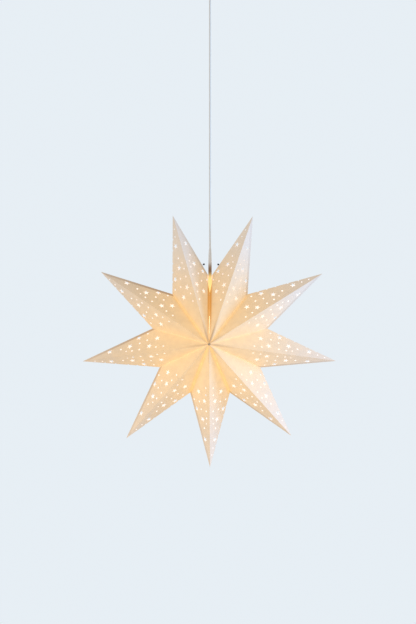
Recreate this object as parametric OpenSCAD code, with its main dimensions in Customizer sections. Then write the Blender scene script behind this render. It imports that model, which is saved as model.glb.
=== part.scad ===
// Paper advent star: nine folded paper points round a hanging lamp, with its cord and ceiling cup.
// The origin is the centre of the ceiling face. Z points up and the star faces -Y.

/* [Star] */
// Distance from the centre of the star to each tip
tip_radius = 350; // [280:1:420]
// Distance from the centre to each glued valley between two points
valley_radius = 159; // [130:1:180]
// Distance from the middle plane to the front and back centres
half_depth = 108; // [80:1:130]
// Thickness of the paper
paper = 0.35; // [0.3:0.01:0.6]
// Gap that the glue fills between two points
glue_gap = 0.1; // [0.1:0.05:0.3]
// Width of the glued flaps inside the valleys
flap_w = 8; // [5:0.5:11]
// Gap between the front and back flap at a valley's fold
mitre_w = 2; // [1:0.5:4]
// Width of the seam strip that closes each point
seam_w = 7; // [5:0.5:9]
// Diameter of the hole where the points meet at the centre
centre_hole_d = 1.6; // [1.2:0.1:6]
// How far the left point at the cord leans toward the cord, in degrees
left_lean = 3.3; // [0:0.1:4]
// How far the right point at the cord leans toward the cord, in degrees
right_lean = 0.9; // [0:0.1:4]

/* [Cut pattern] */
// Radius to the tips of a cut star
cut_star_r = 8.6; // [6:0.1:9]
// Radius to the notches of a cut star
cut_star_notch_r = 3.4; // [2.5:0.1:4]
// Diameter of a large cut dot
big_dot_d = 5; // [3:0.1:7]
// Diameter of a small cut dot
small_dot_d = 3.8; // [2:0.1:5]
// Diameter of the dots cut across a fold
fold_dot_d = 4.2; // [3:0.1:6]
// How far toward the centre the whole pattern sits
pattern_in = 5; // [0:0.1:8]
// Share of the fold, from the centre to the tip, at which the pattern was drawn to pass the valleys
pattern_knee = 0.4767; // [0.4:0.0001:0.56]
// How much nearer the centre it sits on the upper points, and farther out on the lower ones
pattern_sag = 5.4; // [0:0.1:8]
// Direction from which the pattern sags, clockwise from the top
sag_angle = 22; // [-45:1:45]

/* [Opening at the cord] */
// Distance from the centre to the open valley at the cord
slit_radius = 167; // [150:1:180]
// Angle between the middle and each edge of the open valley
slit_angle = 0.3; // [0.2:0.05:1.5]
// Width of the notch that the cord sleeve passes through
notch_w = 14.5; // [12:0.5:18]
// Height of the notch below the open valley
notch_depth = 36; // [25:1:40]

/* [Lamp] */
// Diameter of the cord
cord_d = 5; // [4.6:0.1:6]
// Height of the sleeve's upper end above the centre of the star
sleeve_top = 246; // [225:1:260]
// Length of the tapered part of the sleeve
sleeve_taper = 44; // [25:1:55]
// Diameter of the sleeve's stem
stem_d = 9; // [8:0.1:10]
// Height of the holder cap's upper face above the centre of the star
cap_top = 126; // [120:1:130]
// Outer diameter of the lamp holder
holder_d = 29; // [27:0.5:32]
// Height of the holder cap, with its collar
cap_h = 34; // [32:1:38]
// Length of the holder shell below the cap
shell_h = 28; // [24:1:30]
// Wall of the holder cap and the holder shell
holder_wall = 2; // [1.6:0.1:2.6]
// Diameter of the holder cap's collar
collar_d = 15; // [14:0.1:17]
// Outer diameter of the bulb's screw base
base_d = 13.6; // [13:0.1:14]
// Length of the bulb's screw base
base_h = 20; // [18:0.5:22]
// Diameter of the bulb's globe
globe_d = 45; // [40:1:50]
// Length of the bulb from its contact to the end of its globe
bulb_len = 78; // [74:1:84]

/* [Hanger wire] */
// Diameter of the hanger wire
wire_d = 2; // [1.6:0.1:2.4]
// Diameter of the caps on the wire's ends
wire_cap_d = 5; // [4:0.1:6]
// Clearance round the wire where it passes through a fold
wire_clear = 0.4; // [0.3:0.1:0.8]

/* [Ceiling fitting] */
// Drop from the ceiling to the centre of the star
drop = 980; // [960:1:1100]
// Diameter of the ceiling cup at the ceiling
cup_d = 84; // [78:1:100]
// Height of the ceiling cup
cup_h = 40; // [36:1:48]
// Wall of the ceiling cup
cup_wall = 2; // [1.5:0.1:3]
// Length of the mounting strap
strap_len = 70; // [66:1:72]
// Width of the mounting strap
strap_w = 16; // [14:0.5:20]
// Thickness of the mounting strap
strap_t = 2; // [1.5:0.1:3]
// Distance between the middles of the strap's two slots
slot_spacing = 48; // [46:1:50]
// Width of each slot, for a 4 mm screw
slot_w = 4.5; // [4:0.1:5.5]
// Length of each slot between the centres of its round ends
slot_travel = 6; // [4:0.5:8]
// Diameter of the grip's flange below the cup
grip_d = 18; // [16:0.5:24]
// Height of the grip's flange
grip_h = 10; // [8:0.5:12]

/* [Hidden] */
number_of_points = 9;

$fn = 48;
eps = 0.01;
fit = 0.2;
step_angle = 360 / number_of_points;

paper_colour = "#f7d9b0";
metal_colour = "#b9babc";
brass_colour = "#c9a24a";
white_colour = "#f2f2ee";
dark_colour = "#2b2622";

// Cut stars on each panel: share of the fold from centre to tip, share across to the edge, turn
cut_stars = [
    [0.430, 0.62, 10], [0.486, 0.27, 35], [0.582, 0.83, 20], [0.645, 0.52, 50], [0.806, 0.62, 5]
];
// Large and small cut dots on each panel, by the same two shares
big_dots = [
    [0.371, 0.24], [0.430, 0.21], [0.510, 0.56], [0.513, 0.85], [0.563, 0.21],
    [0.568, 0.52], [0.622, 0.22], [0.715, 0.50]
];
small_dots = [[0.669, 0.27]];
// Small dots near the tip, only on the side without the seam strip
tip_dots = [[0.872, 0.58], [0.926, 0.55]];
// Dots cut across the fold without a seam strip, as shares from the centre to the tip
fold_dots = [0.576, 0.639, 0.700, 0.788, 0.862];

// How far each point was folded clockwise of its place, in degrees, and beyond the tip radius
hand_lean = [0, -0.4, 0, 0.3, 0, -0.3, -0.4, 1.6, 0];
hand_reach = [3, 3, -1, 0, 9, 12, 5, -2, 0];

// Unit vector, direction in the star's middle plane, and clockwise angles of valleys and tips
function unit(a) = a / norm(a);
function heading(a) = [sin(a), 0, cos(a)];
function valley_angle(i) =
    i == 0 ? slit_angle : i == number_of_points ? 360 - slit_angle : i * step_angle;
function valley_at(i) = i == 0 || i == number_of_points ? slit_radius : valley_radius;
function lean(i) = i == 1 ? -right_lean : i == number_of_points ? left_lean : hand_lean[i - 1];
function tip_angle(i) = (i - 0.5) * step_angle + lean(i);

front_centre = [0, -half_depth, 0];
function tip_of(i) = (tip_radius + hand_reach[i - 1]) * heading(tip_angle(i));
function valley_of(i) = valley_at(i) * heading(valley_angle(i));
// Outward normal of a front panel of point i, on its clockwise side (side = 1) or the other (-1)
function side_valley(i, side) = side > 0 ? i : i - 1;
function panel_normal(i, side) =
    unit(side * cross(valley_of(side_valley(i, side)) - front_centre, tip_of(i) - front_centre));
function flat(a) = [a[0], 0, a[2]];
function panel_depth(i, side) = panel_normal(i, side) * front_centre;

// Where the panels moved inward by a meet: the tip, a valley at angle v, and the front centre
function inner_tip(i, a) =
    let (p = panel_normal(i, 1), q = panel_normal(i, -1))
    let (s = panel_depth(i, 1) - a, t = panel_depth(i, -1) - a)
    let (det = p[0] * q[2] - p[2] * q[0])
    [(s * q[2] - p[2] * t) / det, 0, (p[0] * t - s * q[0]) / det];
function inner_valley(i, side, a, v) =
    let (n = flat(panel_normal(i, side)))
    (panel_depth(i, side) - a) / (n * heading(v)) * heading(v);
function inner_centre(i, a) =
    let (n = (panel_normal(i, 1) + panel_normal(i, -1)) / 2)
    [0, -(half_depth - a / abs(n[1])), 0];

// A closed wedge of one point, its panels moved inward by a, and its sides turned outward
module wedge(i, a, turn_left, turn_right) {
    f = inner_centre(i, a);
    t = inner_tip(i, a);
    l = inner_valley(i, -1, a, valley_angle(i - 1) - turn_left);
    r = inner_valley(i, 1, a, valley_angle(i) + turn_right);
    polyhedron(
        points = [f, -f, t, l, r],
        faces = [[0, 2, 4], [0, 3, 2], [1, 4, 2], [1, 2, 3], [0, 1, 3], [0, 4, 1]]
    );
}

// A slab of half thickness t on the valley plane at angle v
module valley_slab(v, t) {
    rotate([0, v, 0])
        translate([-t, -half_depth - 1, -1])
            cube([2 * t, 2 * half_depth + 2, tip_radius]);
}

// The hollow of the star inside the flaps: one convex block that passes through both valley planes
function flap_slope(k) = atan2(half_depth, valley_at(k));
function flap_end(k) = (valley_at(k) - flap_w / sin(flap_slope(k))) * heading(valley_angle(k));
module hollow_core(i) {
    pass = 8;
    behind = -2 * heading((i - 0.5) * step_angle);
    front = [0, -half_depth + flap_w / cos(flap_slope(i)), 0];
    l = flap_end(i - 1);
    r = flap_end(i);
    along = unit(r - l);
    polyhedron(
        points = [behind + front, behind - front, l - pass * along, r + pass * along],
        faces = [[0, 1, 2], [0, 2, 3], [0, 3, 1], [1, 3, 2]]
    );
}

// The cut between the front and back flap of one valley, next to the fold
module mitre_gap(k) {
    rotate([0, valley_angle(k), 0])
        translate([-1, -mitre_w / 2, valley_at(k) - flap_w / sin(flap_slope(k)) - 1])
            cube([2, mitre_w, flap_w / sin(flap_slope(k)) - 2]);
}

// The frame of a front panel: u along the fold from centre to tip, v toward the valley, w outward
function panel_u(i) = unit(tip_of(i) - front_centre);
function panel_v(i, side) = side * cross(panel_u(i), panel_normal(i, side));
module on_panel(i, side, face) {
    u = panel_u(i);
    v = panel_v(i, side);
    w = panel_normal(i, side);
    multmatrix([[1, 0, 0, 0], [0, face, 0, 0], [0, 0, 1, 0], [0, 0, 0, 1]])
        multmatrix([
            [u[0], v[0], w[0], 0], [u[1], v[1], w[1], -half_depth], [u[2], v[2], w[2], 0], [0, 0, 0, 1]
        ])
            children();
}
function fold_len(i) = norm(tip_of(i) - front_centre);
function corner(i, side) =
    let (d = valley_of(side_valley(i, side)) - front_centre) [d * panel_u(i), d * panel_v(i, side)];
function panel_width(i, side, u) =
    let (c = corner(i, side)) u < c[0] ? c[1] * u / c[0] : c[1] * (fold_len(i) - u) / (fold_len(i) - c[0]);
pattern_len = norm([tip_radius, half_depth]);
// How far along a straight point's fold its valleys lie
knee_len = (tip_radius * valley_radius * cos(step_angle / 2) + pow(half_depth, 2)) / pattern_len;
function drawn_place(share) =
    share < pattern_knee
        ? knee_len * share / pattern_knee
        : knee_len + (pattern_len - knee_len) * (share - pattern_knee) / (1 - pattern_knee);
function pattern_place(i, share) =
    drawn_place(share) - pattern_in - pattern_sag * cos(tip_angle(i) - sag_angle);
function spot(i, side, s) =
    let (u = pattern_place(i, s[0])) [u, s[1] * panel_width(i, side, u)];

module cut_star_shape() {
    polygon([
        for (j = [0 : 9])
            let (r = j % 2 == 0 ? cut_star_r : cut_star_notch_r) [r * cos(36 * j), r * sin(36 * j)]
    ]);
}

module panel_cuts(i, side) {
    for (s = cut_stars)
        translate(spot(i, side, s)) rotate(s[2]) cut_star_shape();
    for (s = big_dots)
        translate(spot(i, side, s)) circle(d = big_dot_d, $fn = 24);
    for (s = side < 0 ? concat(small_dots, tip_dots) : small_dots)
        translate(spot(i, side, s)) circle(d = small_dot_d, $fn = 24);
}

// Dots cut across the fold on the side without the seam strip
module fold_cuts(i) {
    t = tip_of(i);
    v = valley_of(i - 1);
    outward = unit([v[2] - t[2], 0, t[0] - v[0]]);
    lean_angle = atan2(outward[0], outward[2]);
    for (s = fold_dots) {
        c = corner(i, -1);
        p = v + (t - v) * (pattern_place(i, s) - c[0]) / (fold_len(i) - c[0]);
        translate(p) rotate([0, lean_angle, 0])
            cylinder(d = fold_dot_d, h = 8, center = true, $fn = 24);
    }
}

// Strip of a second layer behind a panel, along the edge from point a to point b of the panel
module second_layer(i, side, face, outline) {
    on_panel(i, side, face)
        translate([0, 0, -2 * paper])
            linear_extrude(height = 1.5 * paper)
                polygon(outline);
}
strip_inset = 0.4;
seam_start = 2;
seam_end = 10;
seam_slope = 7;
hem_start = 12;
hem_end = 14;
function seam_outline(i) =
    let (c = corner(i, 1), t = [fold_len(i), 0])
    let (e = unit(t - c), n = [e[1], -e[0]])
    [
        c + seam_start * e + strip_inset * n, c + (seam_start + seam_slope) * e + seam_w * n,
        t - (seam_end + 4.5 * seam_w) * e + seam_w * n, t - seam_end * e + strip_inset * n
    ];
function hem_outline(i, side) =
    let (c = corner(i, side), e = unit(c), n = [e[1], -e[0]])
    [
        hem_start * e + strip_inset * n, (hem_start + 1.7 * seam_w) * e + seam_w * n,
        c - (hem_end + 1.2 * seam_w) * e + seam_w * n, c - hem_end * e + strip_inset * n
    ];

notch_lip = 4;
notch_over = 30;
notch_foot_w = 1.8;
notch_reach = 2 * notch_depth;
// At the back the notch only clears the sleeve's stem
rear_notch_w = stem_d + 1.2;
rear_notch_depth = 12;
module notch_shape(width, depth) {
    z = slit_radius;
    w = width / 2;
    f = notch_foot_w / 2;
    rotate([90, 0, 0])
        linear_extrude(height = notch_reach)
            polygon([
                [-w, z + notch_over], [w, z + notch_over], [w, z - notch_lip],
                [f, z - depth], [-f, z - depth], [-w, z - notch_lip]
            ]);
}
module neck_notch() {
    notch_shape(notch_w, notch_depth);
    translate([0, notch_reach - 1, 0])
        notch_shape(rear_notch_w, rear_notch_depth);
}

module star_point(i) {
    first = i == 1;
    last = i == number_of_points;
    color(paper_colour)
    translate([0, 0, -drop])
    difference() {
        union() {
            difference() {
                wedge(i, 0, 0, 0);
                difference() {
                    wedge(i, paper, last || !first ? 0 : 4, last ? 4 : 0);
                    if (!first) valley_slab(valley_angle(i - 1), paper + glue_gap / 2);
                    if (!last) valley_slab(valley_angle(i), paper + glue_gap / 2);
                }
                if (!first) valley_slab(valley_angle(i - 1), glue_gap / 2);
                if (!last) valley_slab(valley_angle(i), glue_gap / 2);
                hollow_core(i);
                if (!first) mitre_gap(i - 1);
                if (!last) mitre_gap(i);
                for (side = [-1, 1])
                    for (face = [1, -1])
                        on_panel(i, side, face)
                            linear_extrude(height = 8 * paper, center = true)
                                panel_cuts(i, side);
                if (!first) fold_cuts(i);
            }
            second_layer(i, 1, 1, seam_outline(i));
            if (first)
                for (face = [1, -1]) second_layer(i, -1, face, hem_outline(i, -1));
            if (last)
                for (face = [1, -1]) second_layer(i, 1, face, hem_outline(i, 1));
        }
        if (first || last) neck_notch();
        if (first || last) wire_holes();
        rotate([90, 0, 0])
            cylinder(d = centre_hole_d, h = 2 * half_depth + 10, center = true);
    }
}

// The wire's right half, in the star's middle plane: up through the fold to its cap
ring_depth = 5;
ring_groove = 1;
wire_ring_z = cap_top - ring_depth;
wire_ring_r = collar_d / 2 - ring_groove + wire_d / 2 + fit;
wire_share_right = 0.208;
wire_share_left = 0.202;
cap_reach_right = 2.8;
cap_reach_left = 5;
function fold_spot(v, t, share) = v + (t - v) * share;
fold_right = fold_spot(valley_of(0), tip_of(1), wire_share_right);
fold_left = fold_spot(valley_of(number_of_points), tip_of(number_of_points), wire_share_left);
wire_exit = unit([-0.8, 0, 0.42]);
// The bends of the wire before the fold, as steps from the fold: outward and up
wire_bends = [[2, -52], [6, -30], [8.5, -16], [8.6, -9], [6.6, -4.2], [0, 0]];
function wire_half(fold, mirror_x, reach) = [
    for (p = [
        [wire_ring_r + 1.5, wire_ring_z + wire_d], [wire_ring_r + 3 * wire_d, wire_ring_z + 6 * wire_d],
        for (b = wire_bends) [fold[0] * mirror_x, fold[2]] + b,
        [fold[0] * mirror_x + reach * wire_exit[0], fold[2] + reach * wire_exit[2]]
    ]) [p[0] * mirror_x, 0, p[1]]
];
function reversed(a) = [for (k = [len(a) - 1 : -1 : 0]) a[k]];
wire_route = concat(
    reversed(wire_half(fold_left, -1, cap_reach_left)),
    [for (k = [0 : 12]) let (a = 180 + 15 * k) [wire_ring_r * cos(a), wire_ring_r * sin(a), wire_ring_z]],
    wire_half(fold_right, 1, cap_reach_right)
);

module wire_holes() {
    for (f = [[fold_right, 1], [fold_left, -1]])
        translate(f[0])
            rotate([0, f[1] * atan2(wire_exit[0], wire_exit[2]), 0])
                cylinder(d = wire_d + 2 * wire_clear, h = 12, center = true);
}

// A tube swept along a route: each ring stands square to the route, with no twist
function heading_at(route, k) =
    unit(route[min(k + 1, len(route) - 1)] - route[max(k - 1, 0)]);
function ring_axis(tangent, last) = unit(last - (last * tangent) * tangent);
function ring_axes(route, start) = [
    for (k = 0, a = ring_axis(heading_at(route, 0), start);
         k < len(route);
         k = k + 1, a = k < len(route) ? ring_axis(heading_at(route, k), a) : a) a
];
module tube(route, d, sides, start) {
    axes = ring_axes(route, start);
    points = [
        for (k = [0 : len(route) - 1])
            let (t = heading_at(route, k), a = axes[k], b = cross(t, a))
            for (j = [0 : sides - 1])
                let (q = 360 * j / sides) route[k] + d / 2 * (a * cos(q) + b * sin(q))
    ];
    walls = [
        for (k = [0 : len(route) - 2], j = [0 : sides - 1])
            let (m = (j + 1) % sides)
            [k * sides + j, (k + 1) * sides + j, (k + 1) * sides + m, k * sides + m]
    ];
    triangles = [for (w = walls) each [[w[0], w[1], w[2]], [w[0], w[2], w[3]]]];
    last = (len(route) - 1) * sides;
    caps = [[for (j = [0 : sides - 1]) j], [for (j = [sides - 1 : -1 : 0]) last + j]];
    polyhedron(points = points, faces = concat(triangles, caps));
}

module hanger_wire() {
    color(metal_colour)
        translate([0, 0, -drop])
            tube(wire_route, wire_d, 8, [0, 1, 0]);
}

module wire_end_caps() {
    color(dark_colour)
        translate([0, 0, -drop])
            for (end = [wire_route[0], wire_route[len(wire_route) - 1]])
                difference() {
                    translate(end) sphere(d = wire_cap_d);
                    tube(wire_route, wire_d + 2 * eps, 8, [0, 1, 0]);
                }
}

// Heights along the lamp, from the star's centre
sleeve_stem_top = sleeve_top - sleeve_taper;
stem_bottom = cap_top - 6;
collar_h = 12;
cap_bottom = cap_top - cap_h;
shell_bottom = cap_bottom - shell_h;
insert_top = cap_top - collar_h - holder_wall - 4;
insert_bottom = cap_bottom + 2;
insert_d = holder_d - 2 * holder_wall - 2 * fit;
contact_t = 0.6;
bulb_top = insert_bottom - contact_t - 1.2;

module cord_sleeve() {
    color(white_colour)
        translate([0, 0, -drop])
            rotate_extrude()
                polygon([
                    [0, stem_bottom], [stem_d / 2, stem_bottom], [stem_d / 2, sleeve_stem_top],
                    [cord_d / 2 + 1.4, sleeve_top - 14], [cord_d / 2 + 0.6, sleeve_top], [0, sleeve_top]
                ]);
}

module holder_cap() {
    r = holder_d / 2;
    c = collar_d / 2;
    color(white_colour)
        translate([0, 0, -drop])
            rotate_extrude()
                polygon([
                    [stem_d / 2 + fit / 2, cap_top], [c, cap_top],
                    [c, wire_ring_z + wire_d / 2 + fit], [c - 1, wire_ring_z + wire_d / 2 + fit],
                    [c - 1, wire_ring_z - wire_d / 2 - fit], [c, wire_ring_z - wire_d / 2 - fit],
                    [c, cap_top - collar_h], [r - 5, cap_top - collar_h - 2],
                    [r - 1.4, cap_top - collar_h - 5.5], [r, cap_top - collar_h - 10], [r, cap_bottom],
                    [r - holder_wall, cap_bottom], [r - holder_wall, cap_top - collar_h - 10],
                    [r - holder_wall - 2, insert_top], [stem_d / 2 + fit / 2, insert_top]
                ]);
}

module holder_shell() {
    r = holder_d / 2;
    color(white_colour)
        translate([0, 0, -drop])
            rotate_extrude()
                polygon([
                    [r - holder_wall, shell_bottom + 1], [r - holder_wall + 0.6, shell_bottom],
                    [r + 0.4, shell_bottom], [r + 1, shell_bottom + 0.6], [r + 1, shell_bottom + 3.4],
                    [r, shell_bottom + 4], [r, cap_bottom], [r - holder_wall, cap_bottom]
                ]);
}

// The ceramic insert, with a pin and a screw head on each side for the cord's cores
insert_face = insert_top - 6;
contact_recess = 2;
pin_d = 3;
pin_x = insert_d / 3.4;
pin_bottom = insert_bottom + 4;
head_d = 5.2;
head_h = 2;
head_slot_w = 0.8;
module contact_insert() {
    color(white_colour)
        translate([0, 0, -drop])
            difference() {
                translate([0, 0, insert_bottom])
                    cylinder(d = insert_d, h = insert_face - insert_bottom);
                translate([0, 0, insert_bottom - eps])
                    cylinder(d = base_d + 2, h = contact_recess + eps);
                for (x = [-1, 1])
                    translate([x * pin_x, 0, pin_bottom])
                        cylinder(d = pin_d + fit, h = cap_h);
            }
}

module insert_screws() {
    color(brass_colour)
        translate([0, 0, -drop])
            for (x = [-1, 1])
                translate([x * pin_x, 0, 0])
                    difference() {
                        union() {
                            translate([0, 0, pin_bottom + fit])
                                cylinder(d = pin_d, h = insert_face - pin_bottom - fit);
                            translate([0, 0, insert_face])
                                cylinder(d = head_d, h = head_h);
                        }
                        translate([-head_d, -head_slot_w / 2, insert_face + 0.6 * head_h])
                            cube([2 * head_d, head_slot_w, head_h]);
                    }
}

thread_r = base_d / 2 + fit;
thread_wall = 0.5;
module screw_shell() {
    top = insert_bottom + contact_recess;
    low = insert_bottom - base_h;
    color(brass_colour)
        translate([0, 0, -drop])
            rotate_extrude()
                polygon([
                    [thread_r, low], [thread_r + thread_wall, low],
                    [thread_r + thread_wall, top], [thread_r, top]
                ]);
}

contact_z = insert_bottom + contact_recess - contact_t;
contact_d = 4;
contact_stem_d = 2.6;
module centre_contact() {
    color(brass_colour)
        translate([0, 0, -drop]) {
            translate([0, 0, contact_z])
                cylinder(d = contact_d, h = contact_t);
            translate([0, 0, bulb_top])
                cylinder(d = contact_stem_d, h = contact_z - bulb_top);
        }
}

core_d = 1.8;
core_x = 2;
module lamp_wires() {
    color(dark_colour)
        translate([0, 0, -drop])
            for (x = [-1, 1])
                translate([x * core_x, 0, insert_face])
                    cylinder(d = core_d, h = stem_bottom - insert_face);
}

module bulb() {
    r = globe_d / 2;
    b = base_d / 2;
    globe_z = bulb_top - bulb_len + r;
    neck_r = 8.5;
    color("#fff1c4")
        translate([0, 0, -drop])
            union() {
                translate([0, 0, globe_z]) sphere(r = r);
                rotate_extrude()
                    polygon([
                        [0, bulb_top], [2.4, bulb_top], [2.8, bulb_top - 1], [4.8, bulb_top - 3],
                        [b - 0.5, bulb_top - 3.4], [b, bulb_top - 4.4], [b, bulb_top - base_h],
                        [neck_r, bulb_top - base_h - 2],
                        [neck_r, shell_bottom - 1], [neck_r + 4, shell_bottom - 8],
                        [r * sin(50), globe_z + r * cos(50)], [0, globe_z]
                    ]);
            }
}

// The taut cord from the sleeve's mouth up to the terminal block, in heights below the ceiling
cord_heights = [
    -734, -690, -640, -590, -540, -490, -440, -390, -340, -290, -240, -190, -140, -95, -60, -32, -12
];
cord_route = [for (h = cord_heights) [0, 0, h]];
block_h = 10;
cord_top = -strap_t - block_h;

module cord() {
    color("#dcdcd8")
        tube(cord_route, cord_d, 10, [1, 0, 0]);
}

lug_w = 12;
lug_t = 2;
anchor_h = 10;
module mounting_strap() {
    color(metal_colour)
        difference() {
            union() {
                translate([-strap_len / 2, -strap_w / 2, -strap_t])
                    cube([strap_len, strap_w, strap_t]);
                translate([-lug_w / 2, strap_w / 2 - lug_t, cord_top - anchor_h - 1])
                    cube([lug_w, lug_t, anchor_h + 1 - cord_top - eps]);
            }
            for (x = [-1, 1])
                translate([x * slot_spacing / 2, 0, -strap_t / 2])
                    for (e = [-1, 1])
                        translate([e * slot_travel / 2, 0, 0])
                            cylinder(d = slot_w, h = 2 * strap_t, center = true);
            for (x = [-1, 1])
                translate([x * slot_spacing / 2, 0, -strap_t / 2])
                    cube([slot_travel, slot_w, 2 * strap_t], center = true);
        }
}

module cord_anchor() {
    back = strap_w / 2 - lug_t;
    color(white_colour)
        difference() {
            translate([-lug_w / 2, -back, cord_top - anchor_h])
                cube([lug_w, 2 * back, anchor_h - 0.5]);
            translate([0, 0, cord_top - anchor_h - 1])
                cylinder(d = cord_d + fit, h = anchor_h + 2);
        }
}

module terminal_block() {
    depth = strap_w - 2 * lug_t - 1;
    color(white_colour)
        difference() {
            translate([-12, -depth / 2, cord_top])
                cube([24, depth, block_h]);
            for (x = [-1, 1])
                translate([x * 6, -depth / 2 - eps, cord_top + block_h / 2])
                    rotate([-90, 0, 0])
                        cylinder(d = 4.2, h = 4);
        }
}

module terminal_screws() {
    depth = strap_w - 2 * lug_t - 1;
    color(brass_colour)
        for (x = [-1, 1])
            translate([x * 6, -depth / 2 + 1.5, cord_top + block_h / 2])
                rotate([-90, 0, 0])
                    difference() {
                        cylinder(d = 3.8, h = 2.5 - eps);
                        translate([-2.5, -0.35, -eps])
                            cube([5, 0.7, 0.8]);
                    }
}

grip_neck_d = 11;
module ceiling_cup() {
    r = cup_d / 2;
    color(white_colour)
        rotate_extrude()
            polygon([
                [r - cup_wall, 0], [r, 0], [r, -cup_h * 0.3], [r - 2, -cup_h * 0.55],
                [r - 7, -cup_h * 0.78], [r - 15, -cup_h * 0.92], [r - 25, -cup_h],
                [grip_neck_d / 2 + fit, -cup_h], [grip_neck_d / 2 + fit, -cup_h + cup_wall],
                [r - 25.4, -cup_h + cup_wall], [r - 16, -cup_h * 0.92 + cup_wall],
                [r - 8.6, -cup_h * 0.78 + cup_wall * 0.8], [r - cup_wall - 2, -cup_h * 0.55 + 0.6],
                [r - cup_wall, -cup_h * 0.3]
            ]);
}

module cup_cord_grip() {
    color(white_colour)
        difference() {
            union() {
                translate([0, 0, -cup_h - grip_h])
                    cylinder(d1 = grip_d - 3, d2 = grip_d, h = grip_h);
                translate([0, 0, -cup_h - eps])
                    cylinder(d = grip_neck_d, h = cup_wall + 5);
            }
            translate([0, 0, -cup_h - grip_h - 1])
                cylinder(d = cord_d + fit, h = grip_h + cup_wall + 10);
            translate([0, -grip_d / 2 - 1, -cup_h - grip_h / 2])
                rotate([-90, 0, 0])
                    cylinder(d = 3 + fit, h = grip_d / 2 + 1);
        }
}

module cup_grip_nut() {
    color(white_colour)
        translate([0, 0, -cup_h + cup_wall])
            difference() {
                cylinder(d = 19, h = 3.5, $fn = 6);
                translate([0, 0, -1])
                    cylinder(d = grip_neck_d + fit, h = 6);
            }
}

module cup_grip_screw() {
    color(metal_colour)
        translate([0, -grip_d / 2 + 0.5, -cup_h - grip_h / 2])
            rotate([-90, 0, 0])
                difference() {
                    cylinder(d = 3, h = grip_d / 2 - 0.5 - cord_d / 2 - fit);
                    translate([-2, -0.35, -eps])
                        cube([4, 0.7, 0.8]);
                }
}

for (i = [1 : number_of_points])
    star_point(i);
hanger_wire();
wire_end_caps();
cord();
cord_sleeve();
holder_cap();
holder_shell();
contact_insert();
insert_screws();
screw_shell();
centre_contact();
lamp_wires();
bulb();
mounting_strap();
cord_anchor();
terminal_block();
terminal_screws();
ceiling_cup();
cup_cord_grip();
cup_grip_nut();
cup_grip_screw();
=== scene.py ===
"""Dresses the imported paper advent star: lit paper, lamp, cord, hanger wire, ceiling fitting and stage."""

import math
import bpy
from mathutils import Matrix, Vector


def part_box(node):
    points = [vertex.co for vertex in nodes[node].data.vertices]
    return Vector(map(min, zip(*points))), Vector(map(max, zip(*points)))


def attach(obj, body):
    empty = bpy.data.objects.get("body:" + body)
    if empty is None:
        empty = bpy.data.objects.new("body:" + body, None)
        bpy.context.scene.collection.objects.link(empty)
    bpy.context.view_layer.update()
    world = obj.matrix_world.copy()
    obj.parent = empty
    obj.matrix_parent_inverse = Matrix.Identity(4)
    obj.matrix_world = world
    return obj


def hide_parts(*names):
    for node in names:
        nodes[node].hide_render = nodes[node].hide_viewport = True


bl_info = {
    "name": "Paper advent star",
    "version": (1, 0, 0),
    "blender": (4, 5, 0),
    "location": "3D View > Sidebar > Star",
    "description": "Folded paper star with a lit lamp, hung from a ceiling cup",
    "category": "Object",
}

import bmesh
import bpy
from bpy.props import FloatProperty, FloatVectorProperty, IntProperty, PointerProperty
from mathutils import Matrix, Vector

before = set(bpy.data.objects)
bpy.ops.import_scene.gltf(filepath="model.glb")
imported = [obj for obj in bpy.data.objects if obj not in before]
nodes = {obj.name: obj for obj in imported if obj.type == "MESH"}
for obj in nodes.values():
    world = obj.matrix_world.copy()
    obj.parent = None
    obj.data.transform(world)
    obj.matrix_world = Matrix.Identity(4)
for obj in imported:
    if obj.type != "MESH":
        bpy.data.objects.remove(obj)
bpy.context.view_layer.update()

MM = 0.001
BODY = "root"
POINT_COUNT = 9
STEP_ANGLE = 360 / POINT_COUNT
RENDER_HEIGHT_PX = 624

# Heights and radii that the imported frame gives
cap_low, cap_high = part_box("holder_cap")
shell_low, shell_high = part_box("holder_shell")
bulb_low, bulb_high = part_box("bulb")
sleeve_low, sleeve_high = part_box("cord_sleeve")
cup_low, cup_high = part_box("ceiling_cup")
grip_low, grip_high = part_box("cup_cord_grip")
nut_low, nut_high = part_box("cup_grip_nut")
screw_low, screw_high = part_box("cup_grip_screw")
strap_low, strap_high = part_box("mounting_strap")
front_low, front_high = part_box("star_point_5")
HALF_DEPTH = -front_low.y

# The cord's route in millimetres below the ceiling, as the part's source has it
CORD_HEIGHTS = [
    -734, -690, -640, -590, -540, -490, -440, -390, -340, -290, -240, -190, -140, -95, -60, -32, -12
]

# How far points were folded clockwise of their place, in degrees, and beyond the tip radius
POINT_LEAN = {1: -0.9, 2: -0.4, 4: 0.3, 6: -0.3, 7: -0.4, 8: 1.6, 9: 3.3}
FIRST_REACH = 0.003
# How dark the painted shade along the ridge folds of the points beside the cord is near the centre
RIDGE_SHADE_NEAR_CENTRE = {1: 0.75, 2: 0.3, 3: 0.45, 6: 0.16, 7: 0.4, 8: 0.16, 9: 0.62}
# How far from the bulb the base colour is painted with warm light and shade, on each point's anticlockwise and
# clockwise side
WARM_LIGHT_REACH = {
    1: (0.29, 0.28), 2: (0.33, 0.27), 3: (0.36, 0.34), 4: (0.36, 0.52), 5: (0.35, 0.42),
    6: (0.46, 0.40),
    7: (0.52, 0.45), 8: (0.37, 0.42), 9: (0.26, 0.21)
}
# How dark the painted shade on each point's glued seam strip is
SEAM_SHADE = {6: 0.5, 7: 0.8, 8: 1.0, 9: 0.15}
# How strongly each valley's base colour is painted with a yellow line of light
VALLEY_LIGHT = {1: 0.45, 4: 1.0, 5: 1.0, 8: 0.8}
# How wide the doubled paper is beside the slit
HEM_WIDTH = {1: 0.0078, POINT_COUNT: 0.0076}
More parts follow.
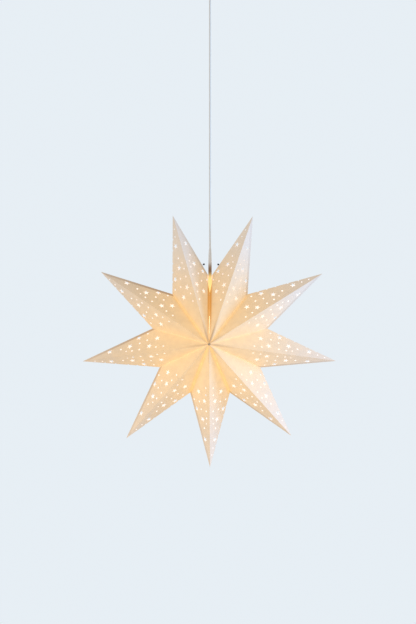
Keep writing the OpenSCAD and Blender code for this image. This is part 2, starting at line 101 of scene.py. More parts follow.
# Colours painted on the paper as light and shade at the valleys, ridges, apex, seams and creases, and of the light
# at the slit
VALLEY_LIGHT_YELLOW = (0.86, 0.60, 0.24)
RIDGE_SHADE_BROWN = (0.38, 0.24, 0.15)
APEX_SHADE_BROWN = (0.24, 0.18, 0.12)
SEAM_SHADE_BROWN = (0.56, 0.36, 0.24)
CREASE_SHADE_COLOUR = (0.72, 0.58, 0.44)
HEM_GLOW = (0.27, 0.12, 0.02)
SLIT_GLOW = (0.30, 0.15, 0.03)
LEAK_GLOW = (0.46, 0.27, 0.08)
# The hanger wire's bends before the fold, as steps in millimetres from the fold: outward and up
WIRE_BENDS = [(2, -52), (6, -30), (8.5, -16), (8.6, -9), (6.6, -4.2), (0, 0)]
SLIT_ANGLE = 0.3
SLIT_RADIUS = 0.167


class StarPaperSettings(bpy.types.PropertyGroup):
    """Sizes and colours of the lit paper."""

    drop: FloatProperty(
        name="Drop", description="From the ceiling to the star's centre", default=0.98, unit="LENGTH"
    )
    tip_radius: FloatProperty(
        name="Tip radius", description="From the centre to each tip", default=0.35, unit="LENGTH"
    )
    valley_radius: FloatProperty(
        name="Valley radius", description="From the centre to each valley", default=0.159, unit="LENGTH"
    )
    seam_width: FloatProperty(
        name="Seam width", description="Width of the glued double layer", default=0.008, unit="LENGTH"
    )
    paper_colour: FloatVectorProperty(
        name="Paper", description="Colour of the paper", subtype="COLOR", size=3,
        default=(0.88, 0.85, 0.81), min=0, max=1,
    )
    # Base colour painted near the bulb with its warm light and with shade, over the paper's own colour
    warm_light_colour: FloatVectorProperty(
        name="Warm paper", description="Colour of the paper near the bulb", subtype="COLOR", size=3,
        default=(0.80, 0.65, 0.46), min=0, max=1,
    )
    # The doubled paper's base colour painted with the bulb's orange light, dimmed as shade by the double layer
    hem_light_and_shade_colour: FloatVectorProperty(
        name="Hem", description="Colour of the doubled paper beside the slit", subtype="COLOR", size=3,
        default=(0.72, 0.385, 0.11), min=0, max=1,
    )
    glow_near: FloatVectorProperty(
        name="Glow near", description="Light through the paper near the bulb", subtype="COLOR", size=3,
        default=(0.46, 0.272, 0.10), min=0, max=1,
    )
    glow_far: FloatVectorProperty(
        name="Glow far", description="Light through the paper at the tips", subtype="COLOR", size=3,
        default=(0.235, 0.118, 0.012), min=0, max=1,
    )
    glow_inside: FloatVectorProperty(
        name="Glow inside", description="Light on the paper's inner side", subtype="COLOR", size=3,
        default=(0.39, 0.405, 0.455), min=0, max=1,
    )


class LampSettings(bpy.types.PropertyGroup):
    """Sizes and colours of the cord, holder and bulb."""

    cord_diameter: FloatProperty(
        name="Cord", description="Outer diameter of the cord", default=0.005, unit="LENGTH"
    )
    globe_diameter: FloatProperty(
        name="Globe", description="Diameter of the bulb's globe", default=0.045, unit="LENGTH"
    )
    wire_diameter: FloatProperty(
        name="Wire", description="Diameter of the hanger wire", default=0.002, unit="LENGTH"
    )
    thread_pitch: FloatProperty(
        name="Thread pitch", description="Rise of the bulb's thread in one turn", default=0.00282,
        unit="LENGTH",
    )
    holder_grooves: IntProperty(
        name="Grooves", description="Grip grooves round the lamp holder", default=24, min=8, max=48
    )
    holder_colour: FloatVectorProperty(
        name="Holder", description="Colour of the moulded holder", subtype="COLOR", size=3,
        default=(0.93, 0.92, 0.90), min=0, max=1,
    )
    cord_colour: FloatVectorProperty(
        name="Cord sheath", description="Colour of the cord", subtype="COLOR", size=3,
        default=(0.93, 0.93, 0.91), min=0, max=1,
    )


class CeilingSettings(bpy.types.PropertyGroup):
    """Sizes and colours of the ceiling fitting."""

    cup_colour: FloatVectorProperty(
        name="Cup", description="Colour of the ceiling cup", subtype="COLOR", size=3,
        default=(0.86, 0.86, 0.84), min=0, max=1,
    )
    lip: FloatProperty(
        name="Lip", description="Radius of the cup's rolled edge", default=0.0009, unit="LENGTH"
    )
    grip_ribs: IntProperty(
        name="Ribs", description="Ribs round the cord grip", default=20, min=8, max=40
    )


class StageSettings(bpy.types.PropertyGroup):
    """Camera, lights and floor."""

    azimuth: FloatProperty(
        name="Azimuth", description="Turn of the camera round the star", default=math.radians(-1.3),
        subtype="ANGLE",
    )
    elevation: FloatProperty(
        name="Elevation", description="Height of the camera above the star", default=math.radians(8),
        subtype="ANGLE",
    )
    distance: FloatProperty(
        name="Distance", description="From the camera to the star's centre", default=4.0, unit="LENGTH"
    )
    lens: FloatProperty(name="Lens", description="Focal length in millimetres", default=84.53)
    key_power: FloatProperty(
        name="Key power", description="Power of the daylight lamp on the right, in watts", default=29.0
    )
    key_colour: FloatVectorProperty(
        name="Key colour", description="Colour of the daylight lamp", subtype="COLOR", size=3,
        default=(0.37, 0.61, 1.0), min=0, max=1,
    )
    fill_power: FloatProperty(
        name="Fill power", description="Power of the weak lamp on the left, in watts", default=5.8
    )
    fill_colour: FloatVectorProperty(
        name="Fill colour", description="Colour of the weak lamp", subtype="COLOR", size=3,
        default=(1.0, 0.88, 0.80), min=0, max=1,
    )
    ambient: FloatProperty(name="Ambient", description="Strength of the light from all sides", default=0.51)
    background: FloatVectorProperty(
        name="Background", description="Colour behind the object", subtype="COLOR", size=3,
        default=(0.80, 0.86, 0.91), min=0, max=1,
    )
    floor_radius: FloatProperty(
        name="Floor radius", description="Radius of the floor", default=1.7, unit="LENGTH"
    )
    floor_drop: FloatProperty(
        name="Floor", description="From the ceiling to the floor", default=2.4, unit="LENGTH"
    )


def settings(name):
    """One of the scene's setting groups."""
    return getattr(bpy.context.scene, name)


# Node trees


class Shader:
    """One material with a Principled surface, and short ways to add nodes to it."""

    def __init__(self, name, **values):
        self.material = bpy.data.materials.new(name)
        self.material.use_nodes = True
        self.tree = self.material.node_tree
        self.surface = self.tree.nodes["Principled BSDF"]
        self.coordinates = self.add("ShaderNodeTexCoord")
        for socket, value in values.items():
            self.put(self.surface.inputs[socket.replace("_", " ")], value)

    def put(self, socket, value):
        if isinstance(value, bpy.types.NodeSocket):
            self.tree.links.new(value, socket)
        elif socket.type == "RGBA":
            socket.default_value = (*value[:3], 1)
        else:
            socket.default_value = value

    def add(self, kind, inputs=None, **options):
        node = self.tree.nodes.new(kind)
        for name, value in options.items():
            setattr(node, name, value)
        for name, value in (inputs or {}).items():
            self.put(node.inputs[name], value)
        return node

    def math(self, operation, *values, clamp=False):
        node = self.add(
            "ShaderNodeMath", dict(enumerate(values)), operation=operation, use_clamp=clamp
        )
        return node.outputs[0]

    def vector(self, operation, *values):
        node = self.add("ShaderNodeVectorMath", dict(enumerate(values)), operation=operation)
        scalar = operation in ("DISTANCE", "DOT_PRODUCT", "LENGTH")
        return node.outputs["Value" if scalar else "Vector"]

    def step(self, value, start, end, low=0.0, high=1.0):
        """Goes smoothly from low to high while value goes from start to end."""
        names = ("Value", "From Min", "From Max", "To Min", "To Max")
        node = self.add(
            "ShaderNodeMapRange", dict(zip(names, (value, start, end, low, high))),
            interpolation_type="SMOOTHSTEP",
        )
        return node.outputs["Result"]

    def mix(self, factor, first, second, blend="MIX"):
        node = self.add("ShaderNodeMix", data_type="RGBA", blend_type=blend)
        for index, value in ((0, factor), (6, first), (7, second)):
            self.put(node.inputs[index], value)
        return node.outputs[2]

    def scaled(self, colour, level):
        """The colour times a level."""
        grey = self.add("ShaderNodeCombineXYZ", {0: level, 1: level, 2: level})
        return self.mix(1.0, colour, grey.outputs[0], "MULTIPLY")

    def noise(self, scale, detail=3.0, stretch=(1, 1, 1)):
        placed = self.add(
            "ShaderNodeMapping", {"Vector": self.coordinates.outputs["Object"], "Scale": stretch}
        )
        node = self.add(
            "ShaderNodeTexNoise", {"Vector": placed.outputs[0], "Scale": scale, "Detail": detail}
        )
        return node.outputs[0]

    def height(self):
        """Height below the ceiling, as a negative value."""
        return self.add("ShaderNodeSeparateXYZ", {0: self.coordinates.outputs["Object"]}).outputs["Z"]

    def bump(self, height, depth, strength=1.0):
        node = self.add("ShaderNodeBump", {"Height": height, "Distance": depth, "Strength": strength})
        self.put(self.surface.inputs["Normal"], node.outputs[0])


def tip_angle(number):
    return math.radians((number - 0.5) * STEP_ANGLE + POINT_LEAN.get(number, 0))


def valley_angle(number):
    lean = {0: SLIT_ANGLE, POINT_COUNT: -SLIT_ANGLE}.get(number, 0)
    return math.radians(number * STEP_ANGLE + lean)


def heading(angle):
    """Direction in the star's middle plane, clockwise from the top."""
    return Vector((math.sin(angle), 0, math.cos(angle)))


def star_centre():
    return Vector((0, 0, -settings("star_paper").drop))


def globe_centre():
    return Vector((0, 0, bulb_low.z + settings("star_lamp").globe_diameter / 2))


def paper_material(number):
    """Lit paper of one point: fibres, a glow that fades from the bulb, and painted warm light and shade near the
    bulb, on the double layers, folds, valleys and creases.
    """
    paper = settings("star_paper")
    shader = Shader(f"star_paper_{number}", Roughness=0.82, Specular_IOR_Level=0.22)
    place = shader.vector("SUBTRACT", shader.coordinates.outputs["Object"], star_centre())
    parts = shader.add("ShaderNodeSeparateXYZ", {0: place}).outputs
    reach = shader.vector("LENGTH", place)

    def across(angle):
        """Signed distance from the plane through the star's axis at this angle."""
        return shader.vector("DOT_PRODUCT", place, heading(angle + math.pi / 2))

    side = across(tip_angle(number))
    clockwise = shader.math("GREATER_THAN", side, 0.0)
    ridge = shader.math("ABSOLUTE", side)
    next_valley = shader.math("ABSOLUTE", across(valley_angle(number)))
    last_valley = shader.math("ABSOLUTE", across(valley_angle(number - 1)))
    valley = shader.math("MINIMUM", next_valley, last_valley)
    nearer_next = shader.math("LESS_THAN", next_valley, last_valley)
    next_light, last_light = VALLEY_LIGHT.get(number, 0.0), VALLEY_LIGHT.get(number - 1, 0.0)
    valley_light = shader.math("MULTIPLY_ADD", nearer_next, next_light - last_light, last_light)
    middle = shader.math("ABSOLUTE", parts["Y"])

    # The strip lies along the edge on a sloping panel, so it reaches less far along Y than its width
    seam_reach = 0.76 * paper.seam_width
    seam = shader.math(
        "MULTIPLY", clockwise, shader.step(middle, 0.8 * seam_reach, seam_reach, 1.0, 0.0)
    )
    bulb = shader.vector("SUBTRACT", shader.coordinates.outputs["Object"], globe_centre())
    distance = shader.vector("LENGTH", bulb)
    facing = shader.vector("DOT_PRODUCT", bulb, shader.coordinates.outputs["Normal"])
    inside = shader.math("LESS_THAN", facing, 0.0)
    fade = shader.step(distance, 0.06, 0.33, 1.0, 0.0)
    before, after = WARM_LIGHT_REACH[number]
    warm_light_reach = shader.math("MULTIPLY_ADD", clockwise, after - before, before)
    warm_light_and_shade = shader.step(distance, 0.06, warm_light_reach, 1.0, 0.0)
    through = shader.mix(fade, paper.glow_far, paper.glow_near)

    formation = shader.noise(55, 5)
    fibres = shader.noise(420, 4, (1, 1, 0.35))
    cloud = shader.step(formation, 0.3, 0.7, 0.90, 1.08)
    shade_above = shader.step(parts["Z"], -0.25, 0.30, 1.26, 0.60)
    radial = shader.vector("LENGTH", shader.vector("MULTIPLY", place, (1, 0, 1)))
    centre_reach = shader.step(radial, 0.012, 0.095, 1.0, 0.0)
    valley_line = shader.step(valley, 0.0006, 0.0048, 1.0, 0.0)
    valley_light_line = shader.math("MULTIPLY", shader.step(valley, 0.0008, 0.0085, 1.0, 0.0), valley_light)
    ridge_shade = RIDGE_SHADE_NEAR_CENTRE.get(number, 0.3)
    ridge_line = shader.math("MULTIPLY", shader.step(ridge, 0.0004, 0.0052, ridge_shade, 0.0), centre_reach)
    apex = shader.step(radial, 0.0018, 0.0052, 1.0, 0.0)
    overlap = shader.math("MULTIPLY", seam, shader.step(reach, 0.16, 0.34, 1.0, 0.45))
    level = shader.math("MULTIPLY", cloud, shade_above)
    shade = SEAM_SHADE.get(number, 0.3)
    lights = ((valley_line, 1.15), (ridge_line, 0.5), (apex, 0.2), (overlap, 0.65 - 0.3 * shade))
    for mask, light in lights:
        level = shader.math("MULTIPLY", level, shader.step(mask, 0.0, 1.0, 1.0, light))
    through = shader.scaled(through, level)
    above = shader.math("DIVIDE", shader.add("ShaderNodeSeparateXYZ", {0: bulb}).outputs["Z"], distance)
    inner_level = shader.math(
        "MULTIPLY", shader.step(reach, 0.12, 0.36, 1.0, 0.8), shader.step(above, 0.6, 0.95, 1.0, 0.74)
    )
    inner = shader.scaled(paper.glow_inside, inner_level)

    fleck = shader.step(fibres, 0.35, 0.65)
    # Painted warm light and shade: the base colour turns warm and darker near the bulb
    sheet = shader.mix(warm_light_and_shade, paper.paper_colour, paper.warm_light_colour)
    sheet = shader.scaled(sheet, shader.step(fleck, 0.0, 1.0, 0.965, 1.0))
    # Painted light: a yellow line of the bulb's light along each valley
    sheet = shader.mix(shader.math("MULTIPLY", valley_light_line, 0.6), sheet, VALLEY_LIGHT_YELLOW)
    # Painted shade along the ridge folds near the centre
    sheet = shader.mix(ridge_line, sheet, RIDGE_SHADE_BROWN)
    # Painted shade at the apex, where the ridges meet
    sheet = shader.mix(apex, sheet, APEX_SHADE_BROWN)
    # The glued double layer is real; its brown is painted shade, where less of the bulb's light comes through
    sheet = shader.mix(shader.math("MULTIPLY", overlap, 0.65 * shade), sheet, SEAM_SHADE_BROWN)
    if number in HEM_WIDTH:
        hem_width = HEM_WIDTH[number]
        beside_slit = last_valley if number == 1 else next_valley
        hem = shader.math(
            "MULTIPLY", shader.step(beside_slit, 0.25 * hem_width, hem_width, 1.0, 0.0),
            shader.step(radial, 0.02, 0.10, 0.15, 1.0),
        )
        # Painted light and shade: the doubled paper beside the slit in the bulb's dimmed orange light
        sheet = shader.mix(hem, sheet, paper.hem_light_and_shade_colour)
        through = shader.mix(hem, through, HEM_GLOW)
        inner = shader.mix(shader.step(beside_slit, 0.006, 0.012, 0.85, 0.0), inner, SLIT_GLOW)
    if number == POINT_COUNT:
        leak = shader.math(
            "MULTIPLY", shader.step(next_valley, 0.0012, 0.0022, 1.0, 0.0),
            shader.step(radial, 0.045, 0.13, 1.0, 0.0),
        )
        through = shader.mix(leak, through, LEAK_GLOW)
    glow = shader.mix(inside, through, inner)
    crease = shader.math("MINIMUM", ridge, shader.math("MINIMUM", valley, middle))
    # Painted shade in a thin line along every ridge, valley and edge crease
    crease_shade = shader.step(crease, 0.0, 0.0009, 0.35, 0.0)
    colour = shader.mix(crease_shade, sheet, CREASE_SHADE_COLOUR)
    shader.put(shader.surface.inputs["Base Color"], colour)
    shader.put(shader.surface.inputs["Emission Color"], glow)
    shader.surface.inputs["Emission Strength"].default_value = 1.0
    creases = shader.math("MULTIPLY", crease, 300.0, clamp=True)
    shader.bump(shader.math("ADD", fibres, creases), 0.00012, 0.35)
    return shader.material


def moulded_plastic(name, colour, roughness=0.38, grain=900, warm_light_and_shade_below=None, lit_below=None):
    """Moulded plastic: fine grain and handling marks; its lower end may take painted warm light and shade in its
    colour, and a painted glow.
    """
    shader = Shader(name, Specular_IOR_Level=0.5)
    marks = shader.step(shader.noise(60, 4), 0.35, 0.7)
    body = shader.mix(marks, colour, [part * 0.93 for part in colour])
    # Painted warm light and shade over the colour towards the lower end
    if warm_light_and_shade_below:
        low, high, tint = warm_light_and_shade_below
        body = shader.mix(shader.step(shader.height(), low, high, 1.0, 0.0), body, tint)
    # Painted glow towards the lower end, though the plastic is no lamp
    if lit_below:
        low, high, tint = lit_below
        lit = shader.step(shader.height(), low, high, 1.0, 0.0)
        shader.put(shader.surface.inputs["Emission Color"], shader.scaled(tint, lit))
        shader.surface.inputs["Emission Strength"].default_value = 1.0
    shader.put(shader.surface.inputs["Base Color"], body)
    shader.put(shader.surface.inputs["Roughness"], shader.step(marks, 0.0, 1.0, roughness, roughness + 0.14))
    shader.bump(shader.noise(grain, 2), 0.00006, 0.3)
    return shader.material


def metal(name, colour, roughness=0.28, stretch=(1, 1, 12), scale=300):
    """Drawn or brushed metal with fine lines and dull spots."""
    shader = Shader(name, Metallic=1.0)
    lines = shader.noise(scale, 4, stretch)
    spots = shader.step(shader.noise(90, 3), 0.5, 0.75)
    body = shader.mix(lines, [part * 0.85 for part in colour], colour)
    body = shader.mix(shader.math("MULTIPLY", spots, 0.35), body, [part * 0.6 for part in colour])
    shader.put(shader.surface.inputs["Base Color"], body)
    shader.put(shader.surface.inputs["Roughness"], shader.step(lines, 0.2, 0.8, roughness, roughness + 0.2))
    shader.bump(lines, 0.00003, 0.4)
    return shader.material


def galvanised_steel():
    """Zinc-coated sheet with its pale crystals."""
    shader = Shader("strap_steel", Metallic=0.9)
    crystals = shader.add(
        "ShaderNodeTexVoronoi", {"Vector": shader.coordinates.outputs["Object"], "Scale": 260.0}
    )
    tone = shader.add("ShaderNodeSeparateXYZ", {0: crystals.outputs["Color"]}).outputs["X"]
    shader.put(shader.surface.inputs["Base Color"], shader.mix(tone, (0.50, 0.51, 0.52), (0.72, 0.73, 0.74)))
    shader.put(shader.surface.inputs["Roughness"], shader.step(tone, 0.0, 1.0, 0.32, 0.52))
    shader.bump(shader.noise(500, 3), 0.00004, 0.3)
    return shader.material


def cord_material():
    """White plastic sheath with faint draw lines and the twist of the cores below."""
    lamp = settings("star_lamp")
    shader = Shader("cord_sheath", Roughness=0.42, Specular_IOR_Level=0.45)
    lines = shader.noise(900, 3, (1, 1, 0.02))
    twist = shader.add(
        "ShaderNodeTexWave",
        {"Vector": shader.coordinates.outputs["Object"], "Scale": 9.0, "Distortion": 0.6},
        bands_direction="Z",
    ).outputs[1]
    body = shader.mix(lines, [part * 0.94 for part in lamp.cord_colour], lamp.cord_colour)
    shader.put(shader.surface.inputs["Base Color"], body)
    shader.bump(shader.math("ADD", twist, shader.math("MULTIPLY", lines, 0.4)), 0.00008, 0.4)
    return shader.material


def lit_glass():
    """Frosted globe of the lit bulb: brightest low on the globe, warmer at its neck."""
    shader = Shader("bulb_glass", Roughness=0.16, Base_Color=(0.95, 0.90, 0.80), Coat_Weight=0.4)
    neck = shader.step(shader.height(), globe_centre().z, bulb_high.z - 0.018)
    mottle = shader.step(shader.noise(70, 3), 0.3, 0.7)
    hot = shader.mix(mottle, (1.0, 0.86, 0.58), (1.0, 0.90, 0.66))
    shader.put(shader.surface.inputs["Emission Color"], shader.mix(neck, hot, (1.0, 0.62, 0.26)))
    shader.surface.inputs["Emission Strength"].default_value = 1.6
    shader.bump(shader.noise(600, 2), 0.00003, 0.2)
    return shader.material


# Shapes


def finish_mesh(name, mesh, material, smooth=35):
    """Makes the bmesh a piece at the origin that rides with the star."""
    bmesh.ops.remove_doubles(mesh, verts=mesh.verts, dist=1e-6)
    bmesh.ops.recalc_face_normals(mesh, faces=mesh.faces)
    data = bpy.data.meshes.new(name)
    mesh.to_mesh(data)
    mesh.free()
    piece = bpy.data.objects.new(name, data)
    bpy.context.scene.collection.objects.link(piece)
    data.materials.append(material)
    data.shade_smooth()
    data.set_sharp_from_angle(angle=math.radians(smooth))
    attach(piece, BODY)
    return piece


def rounded(corners, steps=5):
    """Outline through corners (radius, height, rounding), each rounded as far as its neighbours allow."""
    outline = []
    count = len(corners)
    for index, (x, z, rounding) in enumerate(corners):
        here = Vector((x, z))
        before = Vector(corners[index - 1][:2]) - here
        after = Vector(corners[(index + 1) % count][:2]) - here
        if rounding <= 0 or before.length == 0 or after.length == 0:
            outline.append(here)
            continue
        turn = before.angle(after)
        cut = min(rounding / math.tan(turn / 2), before.length * 0.49, after.length * 0.49)
        start, end = here + before.normalized() * cut, here + after.normalized() * cut
        for step in range(steps + 1):
            share = step / steps
            outline.append(start * (1 - share) ** 2 + here * 2 * share * (1 - share) + end * share**2)
    return outline


def turned(outline, segments=72, closed=True):
    """A bmesh turned round the Z axis from an outline of (radius, height) points."""
    mesh = bmesh.new()
    verts = [mesh.verts.new((max(point[0], 0), 0, point[1])) for point in outline]
    pairs = list(zip(verts, verts[1:] + (verts[:1] if closed else [])))
    edges = [mesh.edges.new(pair) for pair in pairs]
    bmesh.ops.spin(
        mesh, geom=verts + edges, cent=(0, 0, 0), axis=(0, 0, 1), angle=math.tau, steps=segments,
        use_merge=True, use_duplicate=False,
    )
    bmesh.ops.remove_doubles(mesh, verts=mesh.verts, dist=1e-7)
    bmesh.ops.dissolve_degenerate(mesh, dist=1e-7, edges=mesh.edges)
    bmesh.ops.recalc_face_normals(mesh, faces=mesh.faces)
    return mesh


def moved(outline, height):
    return [(x, z + height, rounding) for x, z, rounding in outline]


def groove(mesh, low, high, radius, count, depth, segments=72):
    """Presses grooves into a turned wall between two heights."""
    per_groove = segments // count
    walls = []
    for face in mesh.faces:
        centre = face.calc_center_median()
        reach = math.hypot(centre.x, centre.y)
        if not (low < centre.z < high and reach > radius):
            continue
        turn = (math.atan2(centre.y, centre.x) % math.tau) / math.tau * segments
        if int(turn) % per_groove == 0:
            walls.append(face)
    made = bmesh.ops.extrude_discrete_faces(mesh, faces=walls)
    for face in made["faces"]:
        centre = face.calc_center_median()
        inward = Vector((-centre.x, -centre.y, 0)).normalized() * depth
        bmesh.ops.translate(mesh, verts=face.verts, vec=inward)


def slotted_screw(name, head, radius, length, axis, material):
    """A round-headed screw whose slotted head ends at a point, pointing along axis."""
    mesh = turned(
        rounded([
            (0, 0, 0), (radius * 0.98, 0, 0.0004), (radius, 0.001, 0), (radius * 0.8, 0.0012, 0),
            (radius * 0.8, length, 0.0003), (0, length, 0),
        ]), 40, closed=False,
    )
    for side in (-1, 1):
        bmesh.ops.bisect_plane(
            mesh, geom=mesh.verts[:] + mesh.edges[:] + mesh.faces[:],
            plane_co=(side * radius * 0.16, 0, 0), plane_no=(1, 0, 0),
        )
    slot = [
        face for face in mesh.faces
        if abs(face.calc_center_median().x) < radius * 0.16 and face.calc_center_median().z < 0.00005
    ]
    made = bmesh.ops.extrude_face_region(mesh, geom=slot)
    floor = [part for part in made["geom"] if isinstance(part, bmesh.types.BMVert)]
    bmesh.ops.delete(mesh, geom=slot, context="FACES_ONLY")
    bmesh.ops.translate(mesh, verts=floor, vec=(0, 0, 0.0007))
    turn = Vector((0, 0, 1)).rotation_difference(axis).to_matrix().to_4x4()
    bmesh.ops.transform(mesh, matrix=Matrix.Translation(head) @ turn, verts=mesh.verts)
    return finish_mesh(name, mesh, material)


def tube_piece(name, points, diameter, material, sides=4, smooth=8):
    """A round wire along points, as a mesh."""
    curve = bpy.data.curves.new(name, "CURVE")
    curve.dimensions = "3D"
    spline = curve.splines.new("BEZIER")
    spline.bezier_points.add(len(points) - 1)
    for handle, point in zip(spline.bezier_points, points):
        handle.co = point
        handle.handle_left_type = handle.handle_right_type = "AUTO"
    spline.resolution_u = smooth
    curve.bevel_depth = diameter / 2
    curve.bevel_resolution = sides
    curve.use_fill_caps = True
    line = bpy.data.objects.new(name + "_line", curve)
    bpy.context.scene.collection.objects.link(line)
    bpy.context.view_layer.update()
    data = bpy.data.meshes.new_from_object(line.evaluated_get(bpy.context.evaluated_depsgraph_get()))
    bpy.data.objects.remove(line)
    mesh = bmesh.new()
    mesh.from_mesh(data)
    bpy.data.meshes.remove(data)
    return finish_mesh(name, mesh, material, 60)


# Pieces


def fold_point(number, valley_number, reach, share):
    """Where the hanger wire passes through the fold beside the slit."""
    paper = settings("star_paper")
    valley = SLIT_RADIUS * heading(valley_angle(valley_number))
    tip = (paper.tip_radius + reach) * heading(tip_angle(number))
    return valley + (tip - valley) * share


def wire_half(fold, side, end_reach):
    """One half of the hanger wire, from the holder's collar out through the fold."""
    ring = 0.0077
    ring_height = cap_high.z - 0.005 - star_centre().z
    outward = Vector((-0.8, 0.42)).normalized() * end_reach
    spots = [(ring + 0.0015, ring_height + 0.002), (ring + 0.006, ring_height + 0.012)]
    for out, up in WIRE_BENDS:
        spots.append((fold.x * side + out * MM, fold.z + up * MM))
    spots.append((fold.x * side + outward.x, fold.z + outward.y))
    return [Vector((x * side, 0, z)) + star_centre() for x, z in spots]


def wire_route():
    left = wire_half(fold_point(POINT_COUNT, POINT_COUNT, 0, 0.202), -1, 0.005)
    right = wire_half(fold_point(1, 0, FIRST_REACH, 0.208), 1, 0.0028)
    ring_height = cap_high.z - 0.005
    ring = [
        Vector((0.0077 * math.cos(angle), 0.0077 * math.sin(angle), ring_height))
        for angle in (math.radians(180 + 15 * k) for k in range(13))
    ]
    return left[::-1] + ring + right


class STAR_OT_paper(bpy.types.Operator):
    """Gives each folded point its lit paper"""

    bl_idname = "star.paper"
    bl_label = "Paper points"

    def execute(self, context):
        for number in range(1, POINT_COUNT + 1):
            point = nodes[f"star_point_{number}"]
            point.data.materials.clear()
            point.data.materials.append(paper_material(number))
        return {"FINISHED"}


class STAR_OT_cord(bpy.types.Operator):
    """Makes the taut cord that leaves the lamp holder through the sleeve"""

    bl_idname = "star.cord"
    bl_label = "Cord and sleeve"

    def execute(self, context):
        lamp = settings("star_lamp")
        curve = bpy.data.curves.new("cord_line", "CURVE")
        curve.dimensions = "3D"
        spline = curve.splines.new("POLY")
        spline.points.add(len(CORD_HEIGHTS) - 1)
        for spot, height in zip(spline.points, CORD_HEIGHTS):
            spot.co = (0, 0, height * MM, 1)
        curve.bevel_depth = lamp.cord_diameter / 2
        curve.bevel_resolution = 6
        curve.use_fill_caps = True
        cord = bpy.data.objects.new("lamp_cord", curve)
        context.scene.collection.objects.link(cord)
        curve.materials.append(cord_material())
        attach(cord, BODY)
        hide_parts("cord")
        return {"FINISHED"}


class STAR_OT_sleeve(bpy.types.Operator):
    """Makes the tapered sleeve that eases the cord into the holder"""

    bl_idname = "star.sleeve"
    bl_label = "Cord sleeve"

    def execute(self, context):
        lamp = settings("star_lamp")
        stem = sleeve_high.x
        mouth = lamp.cord_diameter / 2
        low, high = sleeve_low.z, sleeve_high.z
        taper = 0.044
        corners = [
            (0, low, 0), (stem, low, 0.0006), (stem, high - taper, 0.004),
            (mouth + 0.0014, high - 0.014, 0.004), (mouth + 0.0006, high - 0.0008, 0.0004),
            (mouth + 0.0002, high, 0.0002), (0, high, 0),
        ]
        mesh = turned(rounded(corners), 64, closed=False)
        for index in range(6):
            height = high - 0.006 - index * 0.0045
            bmesh.ops.bisect_plane(
                mesh, geom=mesh.verts[:] + mesh.edges[:] + mesh.faces[:],
                plane_co=(0, 0, height), plane_no=(0, 0, 1),
            )
            bmesh.ops.bisect_plane(
                mesh, geom=mesh.verts[:] + mesh.edges[:] + mesh.faces[:],
                plane_co=(0, 0, height - 0.0016), plane_no=(0, 0, 1),
            )
            band = [
                face for face in mesh.faces
                if height - 0.0016 < face.calc_center_median().z < height and abs(face.normal.z) < 0.7
            ]
            made = bmesh.ops.extrude_face_region(mesh, geom=band)
            bmesh.ops.delete(mesh, geom=band, context="FACES_ONLY")
            for vert in (part for part in made["geom"] if isinstance(part, bmesh.types.BMVert)):
                vert.co.x *= 0.93
                vert.co.y *= 0.93
        opening = star_centre().z + SLIT_RADIUS
        # Painted shade and warm light: the white sleeve is painted dark brown up to a little above the slit, and
        # given a painted orange glow from the slit down
        warm_light_and_shade = (opening + 0.024, opening + 0.046, (0.35, 0.20, 0.10))
        lit = (opening - 0.004, opening + 0.019, (0.90, 0.64, 0.20))
        plastic = moulded_plastic("sleeve_plastic", lamp.holder_colour, 0.45, 900, warm_light_and_shade, lit)
        piece = finish_mesh("sleeve_moulding", mesh, plastic)
        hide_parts("cord_sleeve")
        return {"FINISHED"}


